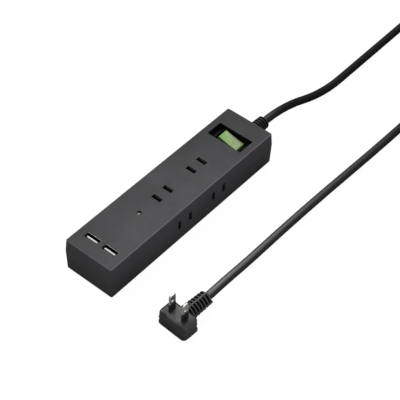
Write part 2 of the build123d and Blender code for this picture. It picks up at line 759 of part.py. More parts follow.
def core_live():
    """From the switch's common terminal to the jacket."""
    end = (-CORE_OFFSET, CORD_INNER_Y - TIGHT, CORD_Z)
    return wire_run([(0, 73.3, 4.4), (0, 79.9, 4.4), (-CORE_OFFSET, 79.9, CORD_Z), end], CORE_R, CORE_BEND)


def core_neutral():
    """From the neutral busbar, past the switch, to the jacket."""
    end = (CORE_OFFSET, CORD_INNER_Y - TIGHT, CORD_Z)
    ahead = [(11.95, 42.5, 13.2), (11.95, 51, 13.2), (17.8, 59, 13.2), (17.8, 79.8, CORD_Z)]
    return wire_run(ahead + [(CORE_OFFSET, 79.8, CORD_Z), end], CORE_R, CORE_BEND)


# ---- plug ----
def blade_slot(x, grow):
    """The space one sleeved blade takes, through the plug's face."""
    height = PLUG_H + 2
    return block(x, 0, INSERT_Z, BLADE_T + grow, BLADE_W + grow, height)


def insert_block(grow):
    size = [side + 2 * grow for side in INSERT]
    return block(0, 0, INSERT_Z - grow, *size)


def plug_body():
    """Flat right-angle shell with pinched sides, moulded round the insert."""
    base = Pos(BODY_X, BODY_Y, 0) * RectangleRounded(PLUG_W, BODY_DEPTH, BODY_CORNER_R)
    face_size = inset((PLUG_W, BODY_DEPTH), FACE_INSET)
    face = Pos(BODY_X, BODY_Y, PLUG_H) * RectangleRounded(*face_size, BODY_CORNER_R - FACE_INSET)
    body = loft([base, face])
    body = fillet(body.faces().sort_by(Axis.Z)[0].edges(), 1.0)
    body = fillet(body.faces().sort_by(Axis.Z)[-1].edges(), 1.2)
    for side in (-1, 1):
        x = BODY_X + side * (PLUG_W / 2 + GRIP_R - GRIP_DEPTH)
        body -= Pos(x, BODY_Y + GRIP_SHIFT, GRIP_Z) * grip_cutter()
    body -= insert_block(TIGHT)
    for x in BLADE_XS:
        body -= blade_slot(x, 2 * TIGHT)
    chamber_from = INSERT[1] / 2 - 1
    low = PLUG_CORD_Z - CHAMBER_H / 2
    for width, end in ((CHAMBER_W, CHAMBER_END_Y), (THROAT_W, PLUG_REAR_Y - NECK_L)):
        body -= block(0, (chamber_from + end) / 2, low, width, end - chamber_from, CHAMBER_H)
    body -= bar_y(0, PLUG_REAR_Y, PLUG_CORD_Z, NECK_R + TIGHT, 2 * (NECK_L + TIGHT))
    return in_plug_place(body)


def grip_cutter():
    """A lens-shaped cutter for the finger hollow in the plug's side."""
    roll = Cylinder(GRIP_R, GRIP_L, rotation=(90, 0, 0))
    return fillet(roll.edges(), GRIP_END_R)


def plug_boot():
    """Ribbed strain relief with four spines along it."""
    length = PLUG_BOOT_END_Y - PLUG_REAR_Y - 0.1
    boot = ribbed_boot(length, *PLUG_BOOT_CORE, PLUG_BOOT_RIBS, *PLUG_BOOT_RIB_R)
    spine = Pos(0, length / 2, SPINE_AT) * Box(SPINE_W, length - 1, 2.0)
    for turn in (0, 90, 180, 270):
        boot += Rot(0, turn, 0) * spine - bar_y(0, length / 2, 0, BOOT_BORE_R + 1, length)
    boot += bar_y(0, 0.15 - NECK_L / 2, 0, NECK_R, NECK_L + 0.1)
    boot -= bar_y(0, 0, 0, BOOT_BORE_R, 8)
    return in_plug_place(Pos(0, PLUG_REAR_Y + 0.1, PLUG_CORD_Z) * boot)


def plug_blades():
    """Flat blades with a hole near the tip and a slimmer root for the sleeve."""
    blades = []
    tip = PLUG_H + BLADE_L
    foot = INSERT_Z + 1
    for x in BLADE_XS:
        blade = block(x, 0, foot, BLADE_T, BLADE_W, tip - foot)
        blade = fillet(blade.edges().filter_by(Axis.X).group_by(Axis.Z)[-1], BLADE_CORNER_R)
        blade = chamfer(blade.edges().filter_by(Axis.Y).group_by(Axis.Z)[-1], BLADE_BEVEL)
        root = block(x, 0, foot - 1, BLADE_T + 1, BLADE_W + 1, PLUG_H + SLEEVE_L - foot + 1)
        core = block(x, 0, foot - 1, BLADE_T - 2 * SLEEVE_T, BLADE_W - 2 * SLEEVE_T, BLADE_L + PLUG_H)
        blade -= root - core
        blade -= bar_x(x, 0, tip - BLADE_HOLE_DROP, BLADE_HOLE_R, 4)
        tab = block(x, INSERT[1] / 2, foot, 0.8, INSERT[1], 3.0)
        blades.append(blade + tab)
    return in_plug_place(Compound(blades))


def blade_sleeves():
    """Insulating sleeves over the roots of the blades."""
    sleeves = []
    low = INSERT_Z + 4.1
    bore = inset((BLADE_T, BLADE_W), SLEEVE_T - TIGHT)
    for x in BLADE_XS:
        sleeve = block(x, 0, low, BLADE_T, BLADE_W, PLUG_H + SLEEVE_L - TIGHT - low)
        sleeves.append(sleeve - block(x, 0, low - 1, *bore, BLADE_L + PLUG_H))
    return in_plug_place(Compound(sleeves))


def plug_insert():
    """Insulating block that holds the blades at their pitch."""
    holder = insert_block(0)
    for x in BLADE_XS:
        holder -= block(x, 0, INSERT_Z + 0.9, BLADE_T + 2 * TIGHT, BLADE_W + 2 * TIGHT, INSERT[2])
        holder -= block(x, INSERT[1] / 2, INSERT_Z + 0.9, 0.9, INSERT[1], INSERT[2])
    return in_plug_place(holder)


def plug_crimps():
    """Folded barrels that join each core to its blade."""
    barrels = []
    for side in (-1, 1):
        x = side * CRIMP_X
        barrel = bar_y(x, CRIMP_Y, PLUG_CORD_Z, CRIMP_R, CRIMP_L)
        barrels.append(barrel - bar_y(x, CRIMP_Y, PLUG_CORD_Z, CORE_R + TIGHT, 4))
    return in_plug_place(Compound(barrels))


def plug_cores():
    """The cores from the bend in the boot to the crimps."""
    cores = []
    for side in (-1, 1):
        x = side * CORE_OFFSET
        crimp_x = side * CRIMP_X
        bends = [(x, JACKET_STOP_Y - 0.9, PLUG_CORD_Z), (crimp_x, CRIMP_Y + 1.7, PLUG_CORD_Z)]
        end = (crimp_x, CRIMP_Y - CRIMP_L / 2, PLUG_CORD_Z)
        points = [(x, PLUG_PIVOT_Y - PLUG_SPLIT, PLUG_CORD_Z)] + bends + [end]
        cores.append(wire_run(points, CORE_R, 1.3))
    return in_plug_place(Compound(cores))


def plug_cord_end():
    """The short length of jacket that turns with the plug."""
    length = PLUG_PIVOT_Y - PLUG_SPLIT - JACKET_STOP_Y
    middle = JACKET_STOP_Y + length / 2
    solid = bar_y(0, middle, PLUG_CORD_Z, CORD_R, length)
    return in_plug_place(solid - bar_y(0, middle, PLUG_CORD_Z, JACKET_BORE_R, length + 2))


NODES = {
    "top_shell": top_shell,
    "bottom_shell": bottom_shell,
    "case_screws": case_screws,
    "switch_rocker": switch_rocker,
    "plunger": plunger,
    "plunger_spring": plunger_spring,
    "switch_housing": switch_housing,
    "terminal_load": terminal_load,
    "terminal_common": terminal_common,
    "terminal_lamp": terminal_lamp,
    "contact_lever": contact_lever,
    "neon_lamp": neon_lamp,
    "lamp_resistor": lamp_resistor,
    "live_busbar": live_busbar,
    "neutral_busbar": neutral_busbar,
    "contact_carrier": contact_carrier,
    "usb_board": usb_board,
    "board_screws": board_screws,
    "port_shells": port_shells,
    "port_tongues": port_tongues,
    "port_contacts": port_contacts,
    "transformer_core": transformer_core,
    "transformer_winding": transformer_winding,
    "capacitors": capacitors,
    "varistor": varistor,
    "fuse": fuse,
    "control_chips": control_chips,
    "indicator_led": indicator_led,
    "light_pipe": light_pipe,
    "wire_switched": wire_switched,
    "wire_lamp": wire_lamp,
    "usb_leads": usb_leads,
    "cord_clamp": cord_clamp,
    "clamp_screws": clamp_screws,
    "cord_boot": cord_boot,
    "cord_jacket": cord_jacket,
    "core_live": core_live,
    "core_neutral": core_neutral,
    "plug_body": plug_body,
    "plug_boot": plug_boot,
    "plug_blades": plug_blades,
    "blade_sleeves": blade_sleeves,
    "plug_insert": plug_insert,
    "plug_crimps": plug_crimps,
    "plug_cores": plug_cores,
    "plug_cord_end": plug_cord_end,
}

os.makedirs("parts", exist_ok=True)
for name, build in NODES.items():
    export_step(build(), f"parts/{name}.step")
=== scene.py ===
import json
import math

import bpy
from mathutils import Matrix, Vector


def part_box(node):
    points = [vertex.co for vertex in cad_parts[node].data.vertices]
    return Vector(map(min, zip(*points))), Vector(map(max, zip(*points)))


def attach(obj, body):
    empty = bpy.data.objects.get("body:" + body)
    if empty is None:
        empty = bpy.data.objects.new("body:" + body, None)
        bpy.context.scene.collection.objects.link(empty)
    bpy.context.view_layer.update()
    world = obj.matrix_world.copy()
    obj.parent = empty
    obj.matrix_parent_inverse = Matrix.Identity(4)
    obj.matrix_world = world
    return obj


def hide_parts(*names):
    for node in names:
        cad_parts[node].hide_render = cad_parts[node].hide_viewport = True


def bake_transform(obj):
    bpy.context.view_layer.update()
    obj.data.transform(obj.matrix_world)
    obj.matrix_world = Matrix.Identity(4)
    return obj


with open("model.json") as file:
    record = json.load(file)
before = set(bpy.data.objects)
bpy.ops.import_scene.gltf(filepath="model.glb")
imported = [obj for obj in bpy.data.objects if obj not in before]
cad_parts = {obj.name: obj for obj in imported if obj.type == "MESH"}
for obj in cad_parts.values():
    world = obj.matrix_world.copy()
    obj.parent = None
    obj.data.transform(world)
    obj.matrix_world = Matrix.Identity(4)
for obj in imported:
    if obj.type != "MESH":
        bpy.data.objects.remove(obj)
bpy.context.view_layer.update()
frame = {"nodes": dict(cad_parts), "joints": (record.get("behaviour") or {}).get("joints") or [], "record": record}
NODES = frame["nodes"]
SCENE = bpy.context.scene
MM = 0.001


# ---------------------------------------------------------------- places from the frame, in millimetres
def mount(name):
    """Where one of the record's mounts is."""
    places = {row["name"]: row["pos_m"] for row in frame["record"]["mounts"]}
    return Vector(places[name]) / MM


def joint(name):
    """Where one of the record's joints is."""
    places = {row["name"]: row["pos_m"] for row in frame["joints"]}
    return Vector(places[name]) / MM


def corners(node):
    """Lowest and highest corner of a CAD node."""
    low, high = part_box(node)
    return low / MM, high / MM


def middle(node):
    """Middle of a CAD node's box."""
    low, high = corners(node)
    return (low + high) / 2


REAR_OUTLET = mount("top_outlet_rear")
FRONT_OUTLET = mount("top_outlet_front")
SIDE_OUTLET = mount("side_outlet_rear")
PORT = mount("usb_port_right")
PLUG = mount("plug_pins")
CASE_HALF_W, CASE_HALF_L, TOP = corners("top_shell")[1]
SWITCH_Y = joint("switch_tilt").y
LED_Y = middle("light_pipe").y
BLADE_GAP = 12.7


# ---------------------------------------------------------------- shader helpers
class Shader:
    """A node-based material, built one node at a time. Coordinates are metres in the object's frame."""

    def __init__(self, name):
        self.mat = bpy.data.materials.new(name)
        self.mat.use_nodes = True
        self.tree = self.mat.node_tree
        self.tree.nodes.clear()
        self.out = self.add("ShaderNodeOutputMaterial")
        self.at = self.add("ShaderNodeTexCoord").outputs["Object"]

    def add(self, kind, **settings):
        node = self.tree.nodes.new(kind)
        for key, value in settings.items():
            setattr(node, key, value)
        return node

    def join(self, source, target):
        self.tree.links.new(source, target)

    def put(self, socket, value):
        """A number, a colour or another node's output goes into a socket."""
        if isinstance(value, bpy.types.NodeSocket):
            self.join(value, socket)
        elif isinstance(value, (tuple, list)) and len(value) == 3 and socket.type == "RGBA":
            socket.default_value = (*value, 1.0)
        else:
            socket.default_value = value

    def math(self, operation, a, b=0.0, clamp=False):
        node = self.add("ShaderNodeMath", operation=operation, use_clamp=clamp)
        self.put(node.inputs[0], a)
        self.put(node.inputs[1], b)
        return node.outputs[0]

    def times(self, a, b):
        return self.math("MULTIPLY", a, b)

    def stretched(self, scale):
        """Coordinates multiplied by one number per axis, for patterns drawn out along an axis."""
        node = self.add("ShaderNodeMapping")
        node.inputs["Scale"].default_value = scale
        self.join(self.at, node.inputs["Vector"])
        return node.outputs[0]

    def noise(self, scale, detail=3.0, rough=0.55, vector=None):
        """Noise of about 1 / scale metres a lump, 0 to 1 and mostly near the middle."""
        node = self.add("ShaderNodeTexNoise")
        node.inputs["Scale"].default_value = scale
        node.inputs["Detail"].default_value = detail
        node.inputs["Roughness"].default_value = rough
        self.join(vector or self.at, node.inputs["Vector"])
        return node.outputs["Fac"]

    def remap(self, value, low, high, to_low, to_high):
        node = self.add("ShaderNodeMapRange")
        for socket, number in zip(list(node.inputs)[:5], (value, low, high, to_low, to_high)):
            self.put(socket, number)
        return node.outputs["Result"]

    def ramp(self, value, low, high, to_low=0.0, to_high=1.0):
        """As remap, for a place: low and high are millimetres."""
        return self.remap(value, low * MM, high * MM, to_low, to_high)

    def lumps(self, scale, low=0.0, high=1.0, detail=4.0, rough=0.55):
        """Noise spread evenly from low to high."""
        return self.remap(self.noise(scale, detail, rough), 0.3, 0.7, low, high)

    def handled(self, low, high):
        """Uneven roughness, as on plastic that has been handled."""
        return self.lumps(160.0, low, high, detail=5.0, rough=0.65)

    def mix(self, share, a, b):
        node = self.add("ShaderNodeMix", data_type="RGBA")
        self.put(node.inputs["Factor"], share)
        self.put(node.inputs[6], a)
        self.put(node.inputs[7], b)
        return node.outputs[2]

    def bump(self, height, distance):
        """A normal for relief that is distance millimetres deep."""
        node = self.add("ShaderNodeBump")
        self.put(node.inputs["Height"], height)
        node.inputs["Distance"].default_value = distance * MM
        return node.outputs["Normal"]

    def grain(self, per_metre, depth):
        """Fine texture of a mould or of soft rubber."""
        return self.bump(self.noise(per_metre, 2.0), depth)

    def edges(self, radius):
        """1 within radius millimetres of sharp outer and inner edges, 0 on flat stretches."""
        bevel = self.add("ShaderNodeBevel", samples=6)
        bevel.inputs["Radius"].default_value = radius * MM
        geometry = self.add("ShaderNodeNewGeometry")
        dot = self.add("ShaderNodeVectorMath", operation="DOT_PRODUCT")
        self.join(bevel.outputs[0], dot.inputs[0])
        self.join(geometry.outputs["Normal"], dot.inputs[1])
        return self.remap(dot.outputs["Value"], 0.995, 0.80, 0.0, 1.0)

    def axes(self):
        """Separate X, Y and Z of the place being shaded."""
        split = self.add("ShaderNodeSeparateXYZ")
        self.join(self.at, split.inputs[0])
        return split.outputs

    def upward(self):
        """Z part of the surface's normal: 1 facing up, 0 upright."""
        split = self.add("ShaderNodeSeparateXYZ")
        self.join(self.add("ShaderNodeNewGeometry").outputs["Normal"], split.inputs[0])
        return split.outputs["Z"]

    def between(self, value, low, high, soft=0.02):
        """1 where value lies between two limits in millimetres, soft over that many millimetres."""
        above = self.ramp(value, low - soft, low + soft)
        below = self.ramp(value, high - soft, high + soft, 1.0, 0.0)
        return self.times(above, below)

    def within(self, distance, limit, soft=0.02):
        """1 where a distance is under a limit in millimetres."""
        return self.between(distance, -1.0, limit, soft)

    def inside(self, low, high, soft=0.02):
        """1 inside a box given in millimetres, 0 outside."""
        split = self.axes()
        share = 1.0
        for axis, near, far in zip("XYZ", low, high):
            share = self.times(share, self.between(split[axis], near, far, soft))
        return share

    def apart(self, value, middle):
        """Distance of value from a place given in millimetres."""
        return self.math("ABSOLUTE", self.math("SUBTRACT", value, middle * MM))

    def principled(self, **values):
        node = self.add("ShaderNodeBsdfPrincipled")
        for key, value in values.items():
            self.put(node.inputs[key.replace("_", " ")], value)
        return self.finish(node)

    def finish(self, surface):
        self.join(surface.outputs[0], self.out.inputs["Surface"])
        return self.mat


def shade(colour, factor):
    return tuple(min(1.0, channel * factor) for channel in colour)


# ---------------------------------------------------------------- finishes of a kind
def moulded(name, colour, rough, grain=0.3, depth=0.01, spread=0.12, rim=0.0):
    """Moulded plastic or rubber: cloudy tone, uneven gloss, fine grain and, where rim is set, a painted highlight
    along its edges.
    """
    s = Shader(name)
    tone = s.mix(s.lumps(45.0), shade(colour, 1 - spread), shade(colour, 1 + spread))
    if rim:
        # Painted highlight: edges paler by the share that rim gives.
        tone = s.mix(s.times(s.edges(0.35), rim), tone, shade(colour, 3.2))
    normal = s.grain(1 / (grain * MM), depth)
    return s.principled(Base_Color=tone, Roughness=s.handled(rough - 0.07, rough + 0.07), Normal=normal)


def metal(name, colour, rough, brush=(1.0, 1.0, 1.0)):
    """Rolled or plated metal, tarnished in patches. A small number in brush draws its lines out that way."""
    s = Shader(name)
    tarnish = s.remap(s.noise(220.0, 4.0, 0.6), 0.35, 0.75, 0.0, 1.0)
    tone = s.mix(tarnish, colour, shade(colour, 0.72))
    lines = s.noise(1800.0, 3.0, vector=s.stretched(brush))
    gloss = s.remap(lines, 0.3, 0.7, max(0.05, rough - 0.08), rough + 0.10)
    return s.principled(Base_Color=tone, Metallic=1.0, Roughness=gloss, Normal=s.bump(lines, 0.004))


def clear(name, colour):
    """Clear glass with faint swirls."""
    s = Shader(name)
    swirl = s.noise(300.0, 3.0)
    return s.principled(
        Base_Color=s.mix(swirl, colour, shade(colour, 0.85)),
        Roughness=s.remap(swirl, 0.3, 0.7, 0.08, 0.16),
        Transmission_Weight=0.85,
        IOR=1.49,
        Normal=s.bump(swirl, 0.01),
    )


def banded(name, light, dark, bands, rough):
    """Coating with bands round it, for the wound resistor and the fuse sleeve."""
    s = Shader(name)
    wave = s.add("ShaderNodeTexWave", bands_direction="X")
    wave.inputs["Scale"].default_value = bands
    s.join(s.at, wave.inputs["Vector"])
    tone = s.mix(s.remap(wave.outputs["Fac"], 0.7, 0.9, 0.0, 1.0), light, dark)
    tone = s.mix(s.times(s.noise(500.0), 0.3), tone, shade(dark, 0.6))
    return s.principled(Base_Color=tone, Roughness=rough, Normal=s.bump(s.noise(1500.0), 0.02))


def collared(name, crest):
    """Soft black rubber, with painted shade almost black in the grooves between the collars and a painted
    highlight on their crests.
    """
    s = Shader(name)
    share = s.add("ShaderNodeAttribute", attribute_name="crest").outputs["Fac"]
    # Painted shade in the grooves, painted highlight on the crests.
    tone = s.mix(s.times(share, s.lumps(500.0, 0.75, 1.1)), (0.0014, 0.0014, 0.0015), crest)
    shine = s.remap(share, 0.0, 1.0, 0.03, 0.6)
    normal = s.grain(1500.0, 0.02)
    return s.principled(Base_Color=tone, Roughness=0.38, Specular_IOR_Level=shine, Normal=normal)


# ---------------------------------------------------------------- the case
UNDER_TOP = TOP - 0.07
ABOVE_TOP = TOP + 1
EDGE_DEPTH = 0.7
# How far the painted shade that makes each recess deep black reaches from the recess's middle.
MOUTH_HALF = (4.9, 2.25)
PORT_HALF = (6.85, 3.1)
HOLE_R = 2.0
WELL_HALF = (16.9, 8.2)
# Where it starts, above the base or out from the case's middle.
SLOT_Z = 24.0
SIDE_SLOT_X = 18.0
PORT_Z = 20.0
HOLE_AND_WELL_Z = 5.0
# Distances from a mouth's middle between which its painted shade deepens.
MOUTH_WAIST = (2.4, 3.2)
# Stretches of the case over which painted light and shade change its tone.
LIGHTER_Y = (60, 5)
LIGHTER_X = (-20, 20)
FLANK_Z = (12, 29)


def slots(s, place):
    """Painted shade: 1 inside the slots and on their flared mouths, a little less at the waist of each mouth."""
    from_middle = s.apart(place["Y"], (REAR_OUTLET.y + FRONT_OUTLET.y) / 2)
    from_outlet = s.apart(from_middle, (REAR_OUTLET.y - FRONT_OUTLET.y) / 2)
    long, wide = MOUTH_HALF
    mouth = s.within(s.apart(from_outlet, BLADE_GAP / 2), wide, soft=0.05)
    across = s.apart(place["X"], 0.0)
    top = s.times(s.within(across, long), s.between(place["Z"], SLOT_Z, UNDER_TOP))
    top = s.times(top, s.ramp(across, *MOUTH_WAIST, 0.72, 1.0))
    upright = s.apart(place["Z"], SIDE_OUTLET.z)
    side = s.times(s.within(upright, long), s.between(place["X"], SIDE_SLOT_X, SIDE_OUTLET.x - 0.15))
    side = s.times(side, s.ramp(upright, *MOUTH_WAIST, 0.60, 1.0))
    return s.times(mouth, s.math("MAXIMUM", top, side))


def recesses(s, place):
    """1 wherever painted shade makes the case deep black: slots, ports, indicator hole and switch well."""
    reach, half = PORT.x + PORT_HALF[0], PORT_HALF[1]
    ports = s.inside((-reach, PORT.y - half, PORT_Z), (reach, PORT.y + half, UNDER_TOP))
    along = s.apart(place["Y"], LED_Y)
    from_led = s.math("SQRT", s.math("ADD", s.times(along, along), s.times(place["X"], place["X"])))
    hole = s.within(from_led, HOLE_R, soft=0.25)
    hole = s.times(hole, s.between(place["Z"], HOLE_AND_WELL_Z, ABOVE_TOP))
    half_x, half_y = WELL_HALF
    low = (-half_x, SWITCH_Y - half_y, HOLE_AND_WELL_Z)
    well = s.inside(low, (half_x, SWITCH_Y + half_y, TOP - 0.12))
    dark = slots(s, place)
    for more in (ports, hole, well):
        dark = s.math("MAXIMUM", dark, more)
    return dark


def top_edges(s):
    """1 along the right edge of the top and along its front edge, where painted highlights go."""
    high = (CASE_HALF_W + 0.5, CASE_HALF_L + 1, ABOVE_TOP)
    right = s.inside((CASE_HALF_W - 1.6, -high[1], TOP - EDGE_DEPTH), high, soft=0.25)
    front = s.inside((-high[0], -high[1], TOP - EDGE_DEPTH), (high[0], 1.2 - CASE_HALF_L, high[2]), soft=0.25)
    return right, front


def case_finish():
    """Finely textured dark plastic, duller towards the switch, with painted light and shade: lighter towards the
    front and the right, paler high on its flanks, painted highlights along its edges, and painted shade deep black
    in its recesses.
    """
    s = Shader("case_plastic")
    colour = (0.041, 0.0375, 0.042)
    place = s.axes()
    tone = s.mix(s.lumps(45.0), shade(colour, 0.93), shade(colour, 1.07))
    # Painted light: lighter towards the front and the right, unevened by noise; darker towards the switch.
    light = s.math("ADD", s.ramp(place["Y"], *LIGHTER_Y, 0.0, 0.6), s.ramp(place["X"], *LIGHTER_X, -0.1, 0.3))
    light = s.math("ADD", light, s.lumps(22.0, -0.25, 0.25, detail=3.0), clamp=True)
    tone = s.mix(light, shade(colour, 0.66), tone)
    # Painted light: the flanks grow paler higher up, short of the top.
    below_top = s.ramp(place["Z"], TOP - 0.8, TOP - 0.1, 1.0, 0.0)
    tone = s.mix(s.times(s.ramp(place["Z"], *FLANK_Z, 0.0, 0.30), below_top), tone, shade(colour, 2.2))
    # Painted highlights: paler along sharp edges and along the top's right and front edges.
    tone = s.mix(s.times(s.edges(0.4), 0.6), tone, shade(colour, 3.0))
    for edge in top_edges(s):
        tone = s.mix(s.times(edge, 0.8), tone, shade(colour, 3.3))
    dark = recesses(s, place)
    # Painted shade: the recesses turn near black.
    tone = s.mix(dark, tone, (0.0025, 0.0025, 0.0028))
    shine = s.remap(dark, 0.0, 1.0, s.remap(light, 0.0, 1.0, 0.26, 0.50), 0.08)
    normal = s.grain(1 / (0.3 * MM), 0.012)
    return s.principled(
        Base_Color=tone, Roughness=s.handled(0.46, 0.56), Specular_IOR_Level=shine, Normal=normal
    )


# ---------------------------------------------------------------- the switch
# The innermost ridge's top, where a painted highlight goes.
INNER_RIDGE_X = (-13.3, -12.4)
RIDGE_HALF_L = 9.5
RIDGE_TOP = (26.25, 27.0)


def switch_finish():
    """Black switch body with a painted highlight on the top of its innermost ridge."""
    s = Shader("switch_plastic")
    tone = s.mix(s.lumps(120.0), (0.0020, 0.0020, 0.0022), (0.0032, 0.0032, 0.0035))
    lengths = (SWITCH_Y - RIDGE_HALF_L, SWITCH_Y + RIDGE_HALF_L)
    ridge = s.inside(*zip(INNER_RIDGE_X, lengths, RIDGE_TOP), soft=0.05)
    # Painted highlight on the ridge's top.
    tone = s.mix(ridge, tone, (0.055, 0.058, 0.054))
    normal = s.grain(2500.0, 0.01)
    return s.principled(Base_Color=tone, Roughness=0.55, Specular_IOR_Level=0.12, Normal=normal)


# Painted light: over this stretch the rocker turns lighter and glows more towards its raised left end.
LIT_END_X = (0, -9)
# Over this stretch the rocker's painted rim shade lightens towards the left.
RIM_LIGHTER_X = (8, -11)


def rocker_patch(s, x, y, soft):
    """1 between two X and two Y, measured from the rocker's middle, at every height."""
    return s.inside((x[0], SWITCH_Y + y[0], 0.0), (x[1], SWITCH_Y + y[1], 2 * TOP), soft)


def rocker_finish():
    """Frosted green where it shows in the window, lighter towards its raised left end as painted light, with a
    painted sheen across the rear of its top, painted shade dark round the rim, and a faint lamp glow that painted
    light strengthens at the left end.
    """
    s = Shader("rocker_green")
    across = s.axes()["X"]
    left = s.ramp(across, *LIT_END_X)
    window = rocker_patch(s, x=(-10.1, 9.2), y=(-3.1, 7.0), soft=0.45)
    window = s.times(window, s.remap(s.upward(), 0.30, 0.50, 0.0, 1.0))
    # Painted shade: the rim outside the window and the steep sides near black green.
    rim = s.mix(s.ramp(across, *RIM_LIGHTER_X), (0.002, 0.008, 0.002), (0.006, 0.026, 0.004))
    frosted = s.mix(left, (0.33, 0.44, 0.20), (0.19, 0.38, 0.06))
    patch = s.remap(s.noise(420.0, 2.0), 0.42, 0.62, 0.0, 0.55)
    frosted = s.mix(patch, frosted, (0.10, 0.24, 0.04))
    # Painted sheen: a pale band across the rear of the rocker's top.
    sheen = rocker_patch(s, x=(-8.0, 8.2), y=(3.1, 5.9), soft=0.7)
    frosted = s.mix(s.times(sheen, 0.6), frosted, (0.42, 0.47, 0.36))
    # Lamp glow through the rocker, strengthened towards the left end as painted light.
    glow = s.times(s.math("ADD", s.times(left, 0.6), 0.4), s.lumps(260.0, 0.08, 0.14, detail=3.0))
    glow = s.times(glow, s.remap(window, 0.0, 1.0, 0.03, 1.0))
    lamp = rocker_patch(s, x=(-6.6, -3.4), y=(-1.3, 1.7), soft=1.5)
    glow = s.math("ADD", glow, s.times(lamp, 0.10))
    return s.principled(
        Base_Color=s.mix(window, rim, frosted),
        Roughness=s.lumps(900.0, 0.30, 0.42, detail=3.0),
        Specular_IOR_Level=s.remap(window, 0.0, 1.0, 0.06, 0.5),
        Emission_Color=(0.42, 0.80, 0.12),
        Emission_Strength=glow,
        Normal=s.bump(s.noise(1200.0), 0.006),
    )


# ---------------------------------------------------------------- the USB supply
def board_finish():
    """Green solder mask with copper tracks that show as paler lines."""
    s = Shader("circuit_board")
    tracks = s.add("ShaderNodeTexBrick")
    tracks.inputs["Scale"].default_value = 120.0
    tracks.inputs["Mortar Size"].default_value = 0.06
    s.join(s.at, tracks.inputs["Vector"])
    track = tracks.outputs["Fac"]
    base = s.mix(s.noise(400.0), (0.01, 0.10, 0.035), (0.02, 0.15, 0.05))
    tone = s.mix(s.times(track, 0.8), base, (0.06, 0.30, 0.09))
    return s.principled(Base_Color=tone, Roughness=0.35, Normal=s.bump(track, 0.03))


REAR_RIM = 2.1  # from the ports' middle
PIPE_LIT = (0.4, -0.7)  # from the light pipe's middle, towards the ports


def shell_finish():
    """Tin-plated port shells with a painted highlight on the rear rim and painted shade dark down inside."""
    s = Shader("bright_steel")
    patch = s.remap(s.noise(500.0, 3.0), 0.35, 0.7, 0.0, 1.0)
    # Painted highlight on the rear rim; elsewhere painted shade keeps the shells dark.
    rim = s.inside((-CASE_HALF_W, PORT.y + REAR_RIM, TOP - 0.8), (CASE_HALF_W, LED_Y, ABOVE_TOP), soft=0.1)
    tone = s.mix(rim, s.mix(patch, (0.04, 0.04, 0.04), (0.08, 0.08, 0.08)), (0.42, 0.42, 0.40))
    return s.principled(Base_Color=tone, Metallic=1.0, Roughness=s.lumps(1800.0, 0.30, 0.45, detail=3.0))


def pipe_finish():
    """Clear rod with a painted highlight on the side nearest the USB ports and painted shade on the far side."""
    s = Shader("clear_plastic")
    # Painted highlight towards the ports, painted shade on the far side.
    lit = s.ramp(s.axes()["Y"], LED_Y + PIPE_LIT[0], LED_Y + PIPE_LIT[1])
    swirl = s.noise(700.0, 2.0)
    tone = s.mix(lit, (0.01, 0.01, 0.01), s.mix(swirl, (0.62, 0.62, 0.60), (0.80, 0.80, 0.78)))
    return s.principled(Base_Color=tone, Roughness=s.remap(swirl, 0.3, 0.7, 0.25, 0.35), Coat_Weight=0.3)


def tape_finish():
    """Yellow tape wound round the bobbin in overlapping turns."""
    s = Shader("yellow_tape")
    wave = s.add("ShaderNodeTexWave", bands_direction="Z")
    wave.inputs["Scale"].default_value = 260.0
    wave.inputs["Distortion"].default_value = 0.6
    s.join(s.at, wave.inputs["Vector"])
    turns = wave.outputs["Fac"]
    tone = s.mix(turns, (0.50, 0.36, 0.03), (0.78, 0.60, 0.10))
    return s.principled(Base_Color=tone, Roughness=0.3, Normal=s.bump(turns, 0.05))


# ---------------------------------------------------------------- the cord and the plug
# Where the cord's painted highlight band and gloss show: near the plug, and fainter just after the case.
MIDWAY_X = (40, 60)
PLUG_RUN_Y = (-40, 260)
CASE_RUN_Y = (118, 140)


def cord_finish():
    """Black vinyl, duller at the far end and glossier near the plug, with faint flow lines and a painted highlight
    band along its top near the plug and, fainter, just after the case.
    """
    s = Shader("cord_vinyl")
    place = s.axes()
    plug_side = s.ramp(place["X"], *MIDWAY_X)
    near = s.times(plug_side, s.ramp(place["Y"], *PLUG_RUN_Y, 1.0, 0.0))
    leaving = s.times(s.math("SUBTRACT", 1.0, plug_side), s.ramp(place["Y"], *CASE_RUN_Y, 0.45, 0.0))
    near = s.math("MAXIMUM", near, leaving)
    tone = s.mix(s.lumps(80.0), (0.0060, 0.0060, 0.0063), (0.0095, 0.0095, 0.0100))
    upward = s.upward()
    # Painted highlight: a pale band along the cord's top near the plug.
    highlight_stripe = s.times(s.remap(upward, 0.80, 0.93, 0.0, 1.0), s.math("POWER", near, 2.5))
    tone = s.mix(highlight_stripe, tone, (0.11, 0.11, 0.112))
    shine = s.times(s.remap(near, 0.0, 1.0, 0.12, 0.75), s.remap(upward, 0.05, 0.6, 0.3, 1.0))
    gloss = s.remap(near, 0.0, 1.0, 0.52, 0.30)
    lines = s.noise(1100.0, 2.0, vector=s.stretched((1.0, 0.2, 1.0)))
    normal = s.bump(lines, 0.03)
    return s.principled(Base_Color=tone, Roughness=gloss, Specular_IOR_Level=shine, Normal=normal)


PLUG_FOOT_Z = (11, 2)
PLUG_SHINE_Z = (2, 12)
PLUG_RIGHT = (8.8, 12.8)  # from the blades' middle
# The plug's face between the blades, where a painted highlight goes, from the blades' middle.
FACE_HIGHLIGHT_LOW = Vector((-5.6, -6.6, -0.6))
FACE_HIGHLIGHT_HIGH = Vector((5.4, 6.4, 0.8))


